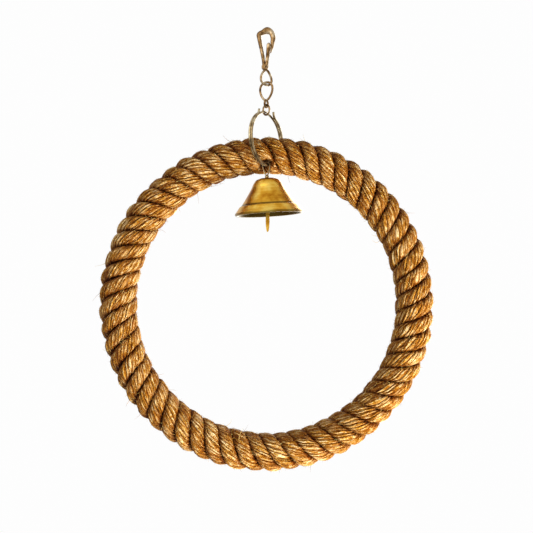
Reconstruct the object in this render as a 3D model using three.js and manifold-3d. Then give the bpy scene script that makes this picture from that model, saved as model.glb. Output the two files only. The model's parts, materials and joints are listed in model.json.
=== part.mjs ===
// Rope ring perch: a thick ring of three strands laid round a cored steel hoop, hung by a split ring,
// two chain links and a snap hook, with a brass bell under the split ring.
// Millimetres, +Z up, seen from -Y. The origin is the inside top of the snap hook, where it hangs.
import * as THREE from 'three';
import { mergeVertices } from 'three/addons/utils/BufferGeometryUtils.js';
import Module from 'manifold-3d';

const wasm = await Module();
wasm.setup();

// Clearances
const fitGap = 0.3;        // between pieces that rest on each other
const runGap = 0.2;        // between two wires that hang in each other

// Rope ring
const ringOutside = 254;       // overall diameter of the rope ring
const ropeDiameter = 28.9;
const strandCount = 3;
const layTurns = 19;           // turns that each strand makes round the core
const hollowRadius = 4.05;     // radius left free for the core between the strands
const layAngle = 116;          // where the first strand starts, in degrees from the top of the rope
const coreRadius = 3.3;
const hoopRadius = 1.5;        // steel hoop inside the core
const coreButt = 1.2;          // gap where the two ends of the core meet

// Split ring
const splitOutside = 42;
const splitWireRadial = 1.7;
const splitWireAxial = 1.65;
const coilGap = 0.35;          // between its two turns
const splitTurn = 55;          // degrees that its plane is turned from the front
const splitEndAngle = 20;      // degrees from the top to each cut end
const stepAngle = 16;          // half of the arc in which the wire steps from turn to turn
const flickAngle = 9;          // arc over which each end is bent outwards
const rightFlick = 3.4;
const leftFlick = 2.6;
const ringBite = 9.0;          // split ring's lowest point below the rope's middle
const ropeSetBack = 8.0;       // rope's middle behind the split ring's lowest point

// Snap hook
const hookGap = 6.0;           // clear width under the arch
const hookLength = 24.8;       // inside top to the middle of the boss
const archThick = 5.6;
const legThick = 3.4;
const noseThick = 2.9;
const noseDrop = 9.5;          // inside top to the end of the nose's full width
const hookDepth = 3.4;
const bossRadius = 2.7;
const bossOffset = 0.9;        // boss to the left of the hanging line
const gateWire = 1.5;
const gateReach = 1.1;         // gate's pin to the right of the boss's middle
const gateTop = 7.6;           // inside top to the top bar of the gate
const eyeWire = 1.9;
const eyeWidth = 12.7;
const eyeHeight = 13.9;
const eyeTurn = 45;

// Chain links
const upperWire = 1.8;
const upperWidth = 12.9;       // large loop of the upper link
const upperHeight = 15.4;
const smallLoopWidth = 6.0;
const smallLoopHeight = 7.2;
const lowerWire = 1.5;
const lowerWidth = 7.3;
const lowerLength = 9.1;

// Bell and its hanger
const hangerWire = 1.1;
const hangerDrop = 5.2;        // split ring's wire to where the loop closes on the stem
const stemRadius = 1.0;
const stemLength = 12.6;       // split ring's wire to the top of the inner eye
const topBeadRadius = 1.6;
const lowBeadRadius = 2.3;
const beadHeight = 1.7;
const crownDrop = 10.2;        // split ring's wire to the top of the bell
const crownRadius = 5.6;
const crownHoleGap = 0.6;
const bellHeight = 27.0;
const mouthRadius = 26.1;
const bellWall = 1.0;
const bellSwing = 3.5;         // degrees that the bell hangs to the right
const innerEyeRadius = 1.9;
const innerEyeWire = 1.0;
const clapperWidth = 3.0;
const clapperThick = 0.9;
const clapperLength = 34.4;    // eye to tip
const clapperPoint = 11;       // length of the tapered end
const clapperHead = 2.0;       // strip above its hole

// Derived sizes of the rope
const midRadius = (ringOutside - ropeDiameter) / 2;
const strandMiddle = (ropeDiameter / 2 + hollowRadius) / 2;
const strandHalfRadial = (ropeDiameter / 2 - hollowRadius) / 2;
const strandPitch = 2 * Math.PI * midRadius / (layTurns * strandCount);
const strandHalfAxial = (strandPitch - fitGap) / 2;

const degrees = Math.PI / 180;
const ringSteps = 48;          // flats round the core and the hoop
const bellSegments = 36;

// Skins a row of point rings into one closed body. An open row gets a flat fan at each end.
function skin(rings, closed) {
  const sides = rings[0].length;
  const points = rings.flat();
  const faces = [];
  const spans = closed ? rings.length : rings.length - 1;
  for (let i = 0; i < spans; i++) {
    const here = i * sides;
    const next = ((i + 1) % rings.length) * sides;
    for (let j = 0; j < sides; j++) {
      const k = (j + 1) % sides;
      faces.push(here + j, here + k, next + j, here + k, next + k, next + j);
    }
  }
  if (!closed) {
    const last = (rings.length - 1) * sides;
    for (let j = 1; j < sides - 1; j++) {
      faces.push(0, j + 1, j, last, last + j, last + j + 1);
    }
  }
  if (signedVolume(points, faces) < 0) faces.reverse();
  const geometry = new THREE.BufferGeometry();
  geometry.setFromPoints(points);
  geometry.setIndex(faces);
  return geometry;
}

function signedVolume(points, faces) {
  let sum = 0;
  for (let i = 0; i < faces.length; i += 3) {
    const [a, b, c] = [points[faces[i]], points[faces[i + 1]], points[faces[i + 2]]];
    sum += a.dot(new THREE.Vector3().crossVectors(b, c));
  }
  return sum;
}

// Sweeps an oval section along a wire that lies nearly in the plane across `normal`.
// sizeAt(i) gives the section's half size in that plane and across it.
function sweepWire(path, normal, sizeAt, sides, closed) {
  const count = path.length;
  const rings = path.map((middle, i) => {
    const before = path[closed ? (i + count - 1) % count : Math.max(i - 1, 0)];
    const after = path[closed ? (i + 1) % count : Math.min(i + 1, count - 1)];
    const along = new THREE.Vector3().subVectors(after, before).normalize();
    const across = new THREE.Vector3().crossVectors(normal, along).normalize();
    const [inPlane, offPlane] = sizeAt(i);
    return Array.from({ length: sides }, (_, j) => {
      const turn = (j + 0.5) * 2 * Math.PI / sides;
      return middle.clone()
        .addScaledVector(across, inPlane * Math.cos(turn))
        .addScaledVector(normal, offPlane * Math.sin(turn));
    });
  });
  return skin(rings, closed);
}

// A round section whose flats, not its corners, lie at the wire's radius would be too large,
// so a wire's corners lie at its radius.
function roundWire(path, normal, diameter, sides, closed) {
  return sweepWire(path, normal, () => [diameter / 2, diameter / 2], sides, closed);
}

// A loop in the XZ plane, wider at the top for a positive taper and at the bottom for a negative one.
function loopPath(halfWidth, top, bottom, taper, steps) {
  const middle = (top + bottom) / 2;
  const halfHeight = (top - bottom) / 2;
  return Array.from({ length: steps }, (_, i) => {
    const turn = i * 2 * Math.PI / steps;
    const x = halfWidth * Math.sin(turn) * (1 + taper * Math.cos(turn));
    return new THREE.Vector3(x, 0, middle + halfHeight * Math.cos(turn));
  });
}

function wireLoop(outerWidth, wire, top, bottom, taper, steps = 26) {
  const path = loopPath((outerWidth - wire) / 2, top, bottom, taper, steps);
  return roundWire(path, new THREE.Vector3(0, 1, 0), wire, 8, true);
}

// A solid of revolution round Z through [radius, height] points.
function turned(profile, segments) {
  const geometry = new THREE.LatheGeometry(profile.map(([r, z]) => new THREE.Vector2(r, z)), segments);
  geometry.rotateX(Math.PI / 2);
  return geometry;
}

function asSolid(geometry) {
  const bare = geometry.clone();
  bare.deleteAttribute('normal');
  bare.deleteAttribute('uv');
  const closed = mergeVertices(bare, 1e-4);
  return new wasm.Manifold(new wasm.Mesh({
    numProp: 3,
    vertProperties: new Float32Array(closed.attributes.position.array),
    triVerts: new Uint32Array(closed.index.array),
  }));
}

function asGeometry(solid) {
  const mesh = solid.getMesh();
  const geometry = new THREE.BufferGeometry();
  geometry.setAttribute('position', new THREE.BufferAttribute(new Float32Array(mesh.vertProperties), 3));
  geometry.setIndex(new THREE.BufferAttribute(new Uint32Array(mesh.triVerts), 1));
  return geometry;
}

function join(...geometries) {
  return asGeometry(geometries.map(asSolid).reduce((whole, next) => whole.add(next)));
}

function cut(geometry, ...tools) {
  return asGeometry(tools.map(asSolid).reduce((whole, tool) => whole.subtract(tool), asSolid(geometry)));
}

function named(name, geometry, material) {
  const mesh = new THREE.Mesh(geometry, material);
  mesh.name = name;
  return mesh;
}

// Finishes
const sisal = () => new THREE.MeshStandardMaterial({ color: 0xb17a32, roughness: 0.95, metalness: 0 });
const coreYarn = () => new THREE.MeshStandardMaterial({ color: 0xa98a5a, roughness: 0.95, metalness: 0 });
const hoopSteel = () => new THREE.MeshStandardMaterial({ color: 0x8d8f90, roughness: 0.4, metalness: 1 });
const antiqueNickel = () => new THREE.MeshStandardMaterial({ color: 0x9c8464, roughness: 0.3, metalness: 1 });
const brightNickel = () => new THREE.MeshStandardMaterial({ color: 0xcfc8b8, roughness: 0.2, metalness: 1 });
const brass = () => new THREE.MeshStandardMaterial({ color: 0xc9993f, roughness: 0.3, metalness: 1 });

// Snap hook: the arch, one leg and the nose are a bar that swells and tapers along one line.
const hookDepthHalf = hookDepth / 2;
const bossX = -bossOffset;
const bossZ = -hookLength;
const noseX = (hookGap + noseThick) / 2;
const legX = -(hookGap + legThick) / 2;

function hookBar() {
  const stations = [
    [bossX - 0.3 * legThick, bossZ, legThick],
    [bossX + 0.28 * (legX - bossX), bossZ * 0.76, legThick],
    [bossX + 0.72 * (legX - bossX), bossZ * 0.44, legThick],
    [legX - 0.15 * legThick, bossZ * 0.14, legThick * 1.1],
    [legX, archThick * 0.06, legThick * 1.2],
    [legX * 0.5, archThick * 0.44, archThick * 0.86],
    [hookGap * 0.12, archThick * 0.5, archThick],
    [noseX * 0.82, archThick * 0.28, archThick * 0.92],
    [noseX + 0.2 * noseThick, -noseDrop * 0.24, archThick * 0.78],
    [noseX + 0.12 * noseThick, -noseDrop * 0.62, noseThick * 1.15],
    [noseX, -noseDrop, noseThick * 0.82],
    [noseX - 0.06 * noseThick, -noseDrop * 1.6, noseThick * 0.25],
  ];
  const line = new THREE.CatmullRomCurve3(stations.map(([x, z]) => new THREE.Vector3(x, 0, z)));
  const girth = new THREE.CatmullRomCurve3(stations.map(([, , thick], i) => new THREE.Vector3(i, thick, 0)));
  const steps = 44;
  const path = Array.from({ length: steps + 1 }, (_, i) => line.getPoint(i / steps));
  const sizeAt = (i) => {
    const half = girth.getPoint(i / steps).y / 2;
    return [half, Math.min(hookDepthHalf, half * 1.2)];
  };
  return sweepWire(path, new THREE.Vector3(0, 1, 0), sizeAt, 10, false);
}

const pinX = bossX + gateReach;
const eyeTop = bossZ - bossRadius * 0.85;
const eyeBottom = bossZ - bossRadius - eyeHeight + eyeWire * 1.5;

function crossPin(radius, length, x, z) {
  const pin = new THREE.CylinderGeometry(radius, radius, length, 20);
  pin.translate(x, 0, z);
  return pin;
}

function snapHook() {
  const boss = crossPin(bossRadius, hookDepth, bossX, bossZ);
  const eye = wireLoop(eyeWidth, eyeWire, eyeTop, eyeBottom, -0.35);
  eye.rotateZ(eyeTurn * degrees);
  const bore = crossPin(gateWire / 2 + fitGap, hookDepth * 2, pinX, bossZ);
  return cut(join(hookBar(), boss, eye), bore);
}

// Gate: a U of spring wire whose two feet turn in and sit in the bore of the boss.
function snapGate() {
  const half = hookDepthHalf + fitGap + gateWire / 2;
  const footEnd = 0.35 * hookDepthHalf;
  const barX = hookGap / 2 - fitGap - gateWire / 2;
  const foot = new THREE.Vector3(pinX, 0, bossZ);
  const rise = new THREE.Vector3(barX, 0, -gateTop).sub(foot);
  const height = rise.length();
  const up = rise.clone().normalize();
  const sideways = new THREE.Vector3(0, 1, 0);
  const corners = [[-footEnd, 0], [-half, 0], [-half, height], [half, height], [half, 0], [footEnd, 0]];
  const place = ([y, h]) => foot.clone().addScaledVector(sideways, y).addScaledVector(up, h);
  const normal = new THREE.Vector3().crossVectors(sideways, up);
  return roundWire(roundedPath(corners.map(place), gateWire * 0.75, 4), normal, gateWire, 8, false);
}

// Rounds each inner corner of a path with a small arc.
function roundedPath(corners, radius, steps) {
  const path = [corners[0].clone()];
  for (let i = 1; i < corners.length - 1; i++) {
    const back = new THREE.Vector3().subVectors(corners[i - 1], corners[i]).setLength(radius);
    const on = new THREE.Vector3().subVectors(corners[i + 1], corners[i]).setLength(radius);
    const bend = new THREE.QuadraticBezierCurve3(corners[i].clone().add(back), corners[i], corners[i].clone().add(on));
    path.push(...bend.getPoints(steps));
  }
  path.push(corners[corners.length - 1].clone());
  return path;
}

// Upper link: a large loop seen from the front, closed on a small loop that stands across it.
const linkTurn = splitTurn - 90;
const upperTop = eyeBottom + (eyeWire + upperWire) / 2 + runGap;
const upperBottom = upperTop - upperHeight + upperWire;
const smallBottom = upperBottom - smallLoopHeight + upperWire;

function upperLink() {
  const large = wireLoop(upperWidth, upperWire, upperTop, upperBottom, 0.25);
  large.rotateZ(linkTurn * degrees);
  const small = wireLoop(smallLoopWidth, upperWire, upperBottom, smallBottom, 0, 20);
  small.rotateZ(splitTurn * degrees);
  return join(large, small);
}

// Lower link: a plain oval between the small loop and the split ring.
const lowerTop = smallBottom + (upperWire + lowerWire) / 2 + runGap;
const lowerBottom = lowerTop - lowerLength + lowerWire;

function lowerLink() {
  const oval = wireLoop(lowerWidth, lowerWire, lowerTop, lowerBottom, 0, 24);
  oval.rotateZ(linkTurn * degrees);
  return oval;
}

// The rope ring and the split ring move together. Their frame's origin is the lower link's wire,
// and it leans so that the rope ring's weight hangs straight below that wire.
const splitMid = (splitOutside - splitWireRadial) / 2;
const splitCentre = (splitWireRadial + lowerWire) / 2 + runGap - splitMid;
const splitBottom = splitCentre - splitMid;
const ropeTopMid = splitBottom + ringBite;
const ropeCentre = ropeTopMid - midRadius;
const lean = Math.atan2(ropeSetBack, -ropeCentre);

// Split ring: one flat wire in two turns side by side, with its ends bent outwards at the top.
function splitRing() {
  const first = splitEndAngle;
  const last = 720 - splitEndAngle;
  const steps = 88;
  const offset = (splitWireAxial + coilGap) / 2;
  const path = Array.from({ length: steps + 1 }, (_, i) => {
    const turn = first + (last - first) * i / steps;
    const share = THREE.MathUtils.clamp((turn - 360 + stepAngle) / (2 * stepAngle), 0, 1);
    const side = -offset * Math.cos(share * Math.PI);
    const atStart = Math.max(0, 1 - (turn - first) / flickAngle);
    const atEnd = Math.max(0, 1 - (last - turn) / flickAngle);
    const radius = splitMid + rightFlick * atStart ** 2 + leftFlick * atEnd ** 2;
    return new THREE.Vector3(radius * Math.sin(turn * degrees), side,
      splitCentre + radius * Math.cos(turn * degrees));
  });
  const half = [splitWireRadial / 2, splitWireAxial / 2];
  const wire = sweepWire(path, new THREE.Vector3(0, 1, 0), () => half, 8, false);
  wire.rotateZ(splitTurn * degrees);
  return wire;
}

// The way that the strands leave free for the split ring and for the swing of the bell's hanger.
function splitChannel() {
  const path = loopPath(splitMid, splitCentre + splitMid, splitBottom, 0, 48);
  const halfRadial = splitWireRadial / 2 + fitGap * 1.2;
  const halfAxial = splitWireAxial + coilGap / 2 + fitGap * 1.2;
  const way = sweepWire(path, new THREE.Vector3(0, 1, 0), () => [halfRadial, halfAxial], 8, true);
  way.rotateZ(splitTurn * degrees);
  return way;
}

function hangerSlot() {
  const above = hangerWire * 3;
  const below = ropeDiameter / 3;
  const thick = hangerWire + 5 * fitGap;
  const wide = hangerWidth + 4 * fitGap;
  const slot = new THREE.BoxGeometry(thick, wide, above + below);
  slot.translate(0, 0, (above - below) / 2);
  slot.rotateZ(splitTurn * degrees);
  slot.translate(0, 0, splitBottom);
  return slot;
}

// A point of the rope, by its place along the ring, its angle round the rope and its radius there.
// The angle starts at the outside of the ring and turns over the front, as a right-hand lay does.
function onRope(along, angle, radius) {
  const reach = midRadius + radius * Math.cos(angle);
  return new THREE.Vector3(reach * Math.sin(along), -radius * Math.sin(angle), reach * Math.cos(along));
}

// One strand: each section lies in a half plane through the rope's middle line, so that
// neighbouring turns stay a pitch apart all the way round the rope.
function strand(index) {
  const stepsPerTurn = 9;
  const sides = 8;
  const steps = layTurns * stepsPerTurn;
  const start = layAngle * degrees + index * 2 * Math.PI / strandCount;
  const rings = Array.from({ length: steps }, (_, i) => {
    const angle = start + i * 2 * Math.PI / stepsPerTurn;
    const along = (angle - start) / layTurns;
    return Array.from({ length: sides }, (_, j) => {
      const turn = j * 2 * Math.PI / sides;
      const shift = strandHalfAxial * Math.cos(turn) / midRadius;
      return onRope(along + shift, angle, strandMiddle + strandHalfRadial * Math.sin(turn));
    });
  });
  const whole = skin(rings, true);
  whole.translate(0, ropeSetBack, ropeCentre);
  return cut(whole, splitChannel(), hangerSlot());
}

// Core: a soft cord bent round the hoop wire, its two ends meeting at a narrow butt.
function ringPath(from, to, steps) {
  return Array.from({ length: steps + 1 }, (_, i) => {
    const turn = from + (to - from) * i / steps;
    return new THREE.Vector3(midRadius * Math.sin(turn), ropeSetBack, ropeCentre + midRadius * Math.cos(turn));
  });
}

function fullRing(radius) {
  const path = ringPath(0, 2 * Math.PI, ringSteps).slice(0, ringSteps);
  return roundWire(path, new THREE.Vector3(0, 1, 0), 2 * radius, 8, true);
}

function coreCord() {
  const normal = new THREE.Vector3(0, 1, 0);
  const butt = Math.PI + coreButt / midRadius / 2;
  const end = Math.PI * 3 - coreButt / midRadius / 2;
  const outside = roundWire(ringPath(butt, end, ringSteps), normal, 2 * coreRadius, 8, false);
  return cut(outside, fullRing(hoopRadius + fitGap));
}

function hoopWire() {
  return fullRing(hoopRadius);
}

// Bell hanger: a loop round the split ring, twisted into a stem, with a bead above and below the
// bell's crown and an eye inside for the clapper. Its origin is the split ring's wire.
const hangerWidth = 2 * (splitWireAxial + coilGap / 2 + 2 * fitGap + hangerWire);
const hangerTop = (splitWireRadial + hangerWire) / 2 + fitGap + runGap;
const innerEyeTop = -stemLength;
const innerEyeBottom = innerEyeTop - 2 * innerEyeRadius;
const crownTop = -crownDrop;
const crownUnder = crownTop - bellWall;

function bead(radius, top) {
  const edge = radius * 0.72;
  const profile = [[0, top], [edge, top], [radius, top - beadHeight * 0.3],
    [radius, top - beadHeight * 0.7], [edge, top - beadHeight], [0, top - beadHeight]];
  return turned(profile.reverse(), 14);
}

function bellHanger() {
  const loop = wireLoop(hangerWidth, hangerWire, hangerTop, -hangerDrop, 0.3, 24);
  loop.rotateZ(linkTurn * degrees);
  const stem = turned([[0, -stemLength - innerEyeWire / 2], [stemRadius, -stemLength - innerEyeWire / 2],
    [stemRadius, -hangerDrop], [0, -hangerDrop + hangerWire / 2]], 14);
  const topBead = bead(topBeadRadius, crownTop + beadHeight + fitGap + topBeadRadius * 0.1);
  const lowBead = bead(lowBeadRadius, crownUnder - fitGap);
  const eye = wireLoop(2 * innerEyeRadius + innerEyeWire, innerEyeWire, innerEyeTop, innerEyeBottom, 0, 18);
  eye.rotateZ(Math.PI / 2);
  return join(loop, stem, topBead, lowBead, eye);
}

// Bell: a flat crown, a round shoulder, a long slope, a small ridge and a flared lip.
function bellOutline() {
  const h = bellHeight;
  const slope = mouthRadius - crownRadius;
  return [
    [crownRadius, 0],
    [crownRadius + slope * 0.15, h * 0.05],
    [crownRadius + slope * 0.255, h * 0.155],
    [crownRadius + slope * 0.325, h * 0.26],
    [crownRadius + slope * 0.42, h * 0.38],
    [crownRadius + slope * 0.54, h * 0.52],
    [crownRadius + slope * 0.665, h * 0.66],
    [crownRadius + slope * 0.76, h * 0.755],
    [crownRadius + slope * 0.815, h * 0.775],
    [crownRadius + slope * 0.9, h * 0.88],
    [mouthRadius, h * 0.985],
  ];
}

function bellShell() {
  const hole = stemRadius + crownHoleGap;
  const outside = bellOutline();
  const inside = outside.map(([r, z], i) => {
    const ahead = outside[Math.min(i + 1, outside.length - 1)];
    const behind = outside[Math.max(i - 1, 0)];
    const along = new THREE.Vector2(ahead[0] - behind[0], ahead[1] - behind[1]).normalize();
    return i === 0 ? [r - bellWall * 0.4, bellWall] : [r - along.y * bellWall, z + along.x * bellWall];
  });
  const wall = [[hole, 0], ...outside, ...inside.reverse(), [hole, bellWall], [hole, 0]];
  const shell = turned(wall.map(([r, z]) => [r, -z]).reverse(), bellSegments);
  shell.translate(0, 0, crownTop);
  return shell;
}

// Clapper: a flat strip with a hole at its head and a long point.
function bellClapper() {
  const half = clapperWidth / 2;
  const outline = new THREE.Shape();
  outline.moveTo(0, -clapperLength);
  outline.lineTo(half, -clapperLength + clapperPoint);
  outline.lineTo(half, 0);
  outline.absarc(0, clapperHead - half, half, 0, Math.PI, false);
  outline.lineTo(-half, -clapperLength + clapperPoint);
  outline.closePath();
  const hole = new THREE.Path();
  hole.absarc(0, 0, innerEyeWire / 2 + fitGap, 0, 2 * Math.PI, true);
  outline.holes.push(hole);
  const strip = new THREE.ExtrudeGeometry(outline, { depth: clapperThick, bevelEnabled: false, curveSegments: 8 });
  strip.translate(0, 0, -clapperThick / 2);
  strip.rotateX(Math.PI / 2);
  return strip;
}

// Assembly
function bellGroup() {
  const bell = new THREE.Group();
  bell.add(named('bell_hanger', bellHanger(), brightNickel()));
  bell.add(named('bell_shell', bellShell(), brass()));
  const clapper = named('bell_clapper', bellClapper(), brass());
  clapper.position.z = innerEyeBottom;
  clapper.rotation.y = bellSwing * degrees;
  bell.add(clapper);
  bell.rotation.y = -bellSwing * degrees;
  const plumb = new THREE.Group();
  plumb.add(bell);
  plumb.rotation.x = lean;
  plumb.position.z = splitBottom;
  return plumb;
}

function perchGroup() {
  const perch = new THREE.Group();
  perch.add(named('split_ring', splitRing(), brightNickel()));
  for (let i = 0; i < strandCount; i++) {
    perch.add(named(`rope_strand_${i + 1}`, strand(i), sisal()));
  }
  perch.add(named('core_cord', coreCord(), coreYarn()));
  perch.add(named('hoop_wire', hoopWire(), hoopSteel()));
  perch.add(bellGroup());
  perch.rotation.x = -lean;
  perch.position.z = lowerBottom;
  return perch;
}

const ropeRingPerch = new THREE.Group();
ropeRingPerch.add(named('snap_hook', snapHook(), antiqueNickel()));
ropeRingPerch.add(named('snap_gate', snapGate(), antiqueNickel()));
ropeRingPerch.add(named('upper_link', upperLink(), antiqueNickel()));
ropeRingPerch.add(named('lower_link', lowerLink(), antiqueNickel()));
ropeRingPerch.add(perchGroup());

export default ropeRingPerch;
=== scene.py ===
# %% [markdown]
# # Rope ring perch
# A hanging perch for a pet bird: a thick ring of sisal rope, laid from three strands round a cored
# hoop, with a split ring through its top, two chain links, a snap hook and a brass bell. The packed
# model gives the joints' places and the ring's. This lesson repeats its sizes and adds what makes it
# look real: yarns in the strands, loose fibres, smooth metal and worn finishes.

# %% Load the frame
import json
import math

import bpy
import numpy as np
from mathutils import Matrix, Vector


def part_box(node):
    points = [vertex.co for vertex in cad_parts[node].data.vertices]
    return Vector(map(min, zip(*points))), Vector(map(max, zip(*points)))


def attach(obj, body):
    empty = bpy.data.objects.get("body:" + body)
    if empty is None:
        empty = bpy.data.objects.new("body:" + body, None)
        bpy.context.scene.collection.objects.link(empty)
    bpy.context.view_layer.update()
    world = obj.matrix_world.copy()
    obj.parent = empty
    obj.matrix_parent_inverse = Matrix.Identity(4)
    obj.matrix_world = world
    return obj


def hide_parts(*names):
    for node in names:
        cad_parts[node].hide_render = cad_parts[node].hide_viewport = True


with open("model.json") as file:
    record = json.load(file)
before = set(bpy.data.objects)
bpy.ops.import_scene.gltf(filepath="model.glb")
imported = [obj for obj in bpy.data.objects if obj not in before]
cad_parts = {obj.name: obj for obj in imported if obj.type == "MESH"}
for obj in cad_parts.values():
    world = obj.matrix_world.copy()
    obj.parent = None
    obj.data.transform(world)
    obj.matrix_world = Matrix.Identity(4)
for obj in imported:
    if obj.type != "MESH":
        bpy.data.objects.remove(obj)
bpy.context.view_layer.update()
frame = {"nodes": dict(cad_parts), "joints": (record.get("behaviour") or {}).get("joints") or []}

joints = {joint["name"]: joint for joint in frame["joints"]}
print("nodes:", ", ".join(sorted(frame["nodes"])))

# %% [markdown]
# ## Camera
# The photograph looks straight at the ring. The rope ring is 254 mm across and spans 334 pixels, and
# its middle lies a little below the picture's middle, so those two facts place the camera. A camera
# close to the object sees the bell's mouth from slightly below, as the photograph does. The hoop
# inside the rope tells where the ring's middle is.

# %% Camera from the ring's size in the photograph
PICTURE = 533
RING_OUTSIDE = 254.0
RING_PIXELS = 334.0
RING_MIDDLE_PX = (266.3, 302.0)
CAMERA_DISTANCE = 570.0
SENSOR = 36.0

mm_per_pixel = RING_OUTSIDE / RING_PIXELS
hoop_low, hoop_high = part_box("hoop_wire")
ring_middle = (hoop_low + hoop_high) / 2 * 1000

camera_data = bpy.data.cameras.new("photo_camera")
camera = bpy.data.objects.new("photo_camera", camera_data)
bpy.context.scene.collection.objects.link(camera)
bpy.context.scene.camera = camera
camera_data.sensor_width = SENSOR
camera_data.lens = SENSOR * CAMERA_DISTANCE / (PICTURE * mm_per_pixel)
camera.location = Vector((
    ring_middle.x + (PICTURE / 2 - RING_MIDDLE_PX[0]) * mm_per_pixel,
    ring_middle.y - CAMERA_DISTANCE,
    ring_middle.z + (RING_MIDDLE_PX[1] - PICTURE / 2) * mm_per_pixel,
)) / 1000
camera.rotation_euler = (math.pi / 2, 0, 0)
print(f"lens {camera_data.lens:.1f} mm at {CAMERA_DISTANCE:.0f} mm")

# %% [markdown]
# ## Skins
# Rope, wire and turned brass all have one thing in common: a ring of points that travels. So one
# function skins rows of point rings into a closed mesh, and nearly all pieces are made with it.
# Curves with a bevel would make plain wires, but not a section that swells and narrows on its way.
# Points are worked out in millimetres with numpy, which is quick enough for hundreds of thousands.

# %% Skin and mesh helpers
def unit(vectors):
    return vectors / np.linalg.norm(vectors, axis=-1, keepdims=True)


def skin(rings, closed=False):
    """Vertices and quads of a row of rings. A closed row joins its end to its start."""
    count, sides = rings.shape[:2]
    rows = count if closed else count - 1
    here, j = np.meshgrid(np.arange(rows), np.arange(sides), indexing="ij")
    ahead = (here + 1) % count
    k = (j + 1) % sides
    quads = np.stack([here * sides + j, here * sides + k, ahead * sides + k, ahead * sides + j], -1)
    faces = quads.reshape(-1, 4).tolist()
    if not closed:
        faces.append(list(range(sides))[::-1])
        faces.append(list(range((count - 1) * sides, count * sides)))
    return rings.reshape(-1, 3), faces


def make_piece(name, points, faces, smooth=True):
    """A mesh object in metres from points in millimetres, with its faces turned outwards."""
    mesh = bpy.data.meshes.new(name)
    mesh.from_pydata((np.asarray(points) / 1000).tolist(), [], faces)
    corners = np.asarray(points)[[face[:3] for face in faces if len(face) == 4]]
    volume = np.einsum("ij,ij->i", corners[:, 0], np.cross(corners[:, 1], corners[:, 2])).sum()
    if volume < 0:
        mesh.flip_normals()
    mesh.polygons.foreach_set("use_smooth", [smooth] * len(mesh.polygons))
    piece = bpy.data.objects.new(name, mesh)
    bpy.context.scene.collection.objects.link(piece)
    return piece


def sweep(path, normal, half_in, half_off, sides=20, closed=True, squareness=2.0):
    """Rings of an oval or squarish section along a path that lies nearly across `normal`."""
    if closed:
        along = unit(np.roll(path, -1, 0) - np.roll(path, 1, 0))
    else:
        along = unit(np.gradient(path, axis=0))
    across = unit(np.cross(normal, along))
    turn = (np.arange(sides) + 0.5) * 2 * np.pi / sides
    power = 2 / squareness
    wide = np.sign(np.cos(turn)) * np.abs(np.cos(turn)) ** power
    deep = np.sign(np.sin(turn)) * np.abs(np.sin(turn)) ** power
    half_in = np.broadcast_to(half_in, len(path))[:, None, None]
    half_off = np.broadcast_to(half_off, len(path))[:, None, None]
    normal = np.broadcast_to(normal, path.shape)
    return (path[:, None] + across[:, None] * wide[None, :, None] * half_in
            + normal[:, None] * deep[None, :, None] * half_off)


def turn_about(points, axis, degrees, centre=(0, 0, 0)):
    matrix = np.array(Matrix.Rotation(math.radians(degrees), 3, axis))
    return (np.asarray(points) - centre) @ matrix.T + centre


def joint_point(name):
    return np.array(joints[name]["pos_m"]) * 1000


# %% [markdown]
# ## Rope: how a strand lies
# Three strands wind round the ring's middle line, 19 turns each, so that 57 grooves show round the
# ring. Each strand is a bundle of yarns that wind round it as well. On the real rope the yarns wind
# so tightly that on the crown of a strand they run nearly along the rope. A displacement map could
# draw them, but the outline would stay smooth, so the yarns are real ridges here: the mesh lines
# follow the yarns, and every valley between two yarns is a crisp edge line.

# %% Rope sizes
ROPE_DIAMETER = 28.9
STRANDS = 3
LAY_TURNS = 19
HOLLOW_RADIUS = 4.05
LAY_ANGLE = 116.0
ROPE_SET_BACK = 8.0
STRAND_GAP = 0.2
YARNS = 6
YARN_TURNS = 80
POINTS_PER_YARN = 10
RINGS_PER_TURN = 84
VALLEY_DEPTH = 1.25
FULL_OUTSIDE = 2.1
FULL_INSIDE = 3.0
PRESSED_OUTSIDE = 1.04
PRESSED_INSIDE = 1.12

mid_radius = (RING_OUTSIDE - ROPE_DIAMETER) / 2
strand_middle = (ROPE_DIAMETER / 2 + HOLLOW_RADIUS) / 2
half_radial = (ROPE_DIAMETER / 2 - HOLLOW_RADIUS) / 2
strand_pitch = 2 * math.pi * mid_radius / (LAY_TURNS * STRANDS)
half_axial = (strand_pitch - STRAND_GAP) / 2
perch_origin = joint_point("perch_swing")
rope_drop = math.dist(perch_origin, ring_middle)
lean = math.degrees(math.asin(ROPE_SET_BACK / rope_drop))
rope_centre = -math.sqrt(rope_drop**2 - ROPE_SET_BACK**2)
print(f"rope ring leans {lean:.2f} degrees, its middle is {-rope_centre:.1f} mm below the link")


def on_perch(points):
    """From the perch's own upright frame to the world."""
    return turn_about(points, "X", -lean) + perch_origin


def on_rope(along, angle, radius):
    """A point of the rope in the perch's frame: place along the ring, angle round the rope, radius."""
    reach = mid_radius + radius * np.cos(angle)
    return np.stack(np.broadcast_arrays(reach * np.sin(along), ROPE_SET_BACK - radius * np.sin(angle),
                                        rope_centre + reach * np.cos(along)), -1)


# %% [markdown]
# ## Rope: uneven yarns
# Hand-laid sisal is never even. A few sine waves of whole-numbered frequency, with random phases,
# make each yarn swell, thin out and wander, and still close on itself after its way round the ring.

# %% Waves that close round the ring
WAVE_COUNT = 5
WAVE_CALM = 1.4


def waves(rng, angle, slowest, fastest):
    """A smooth random curve of size about 1 over the whole strand, the same at both its ends."""
    place = angle / LAY_TURNS
    speeds = rng.integers(slowest, fastest, WAVE_COUNT)
    phases = rng.uniform(0, 2 * np.pi, WAVE_COUNT)
    sizes = rng.uniform(0.5, 1.0, WAVE_COUNT)
    swing = (sizes * np.sin(np.outer(place, speeds) + phases)).sum(1)
    return swing / np.sqrt((sizes**2).sum() / 2) / WAVE_CALM


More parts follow.
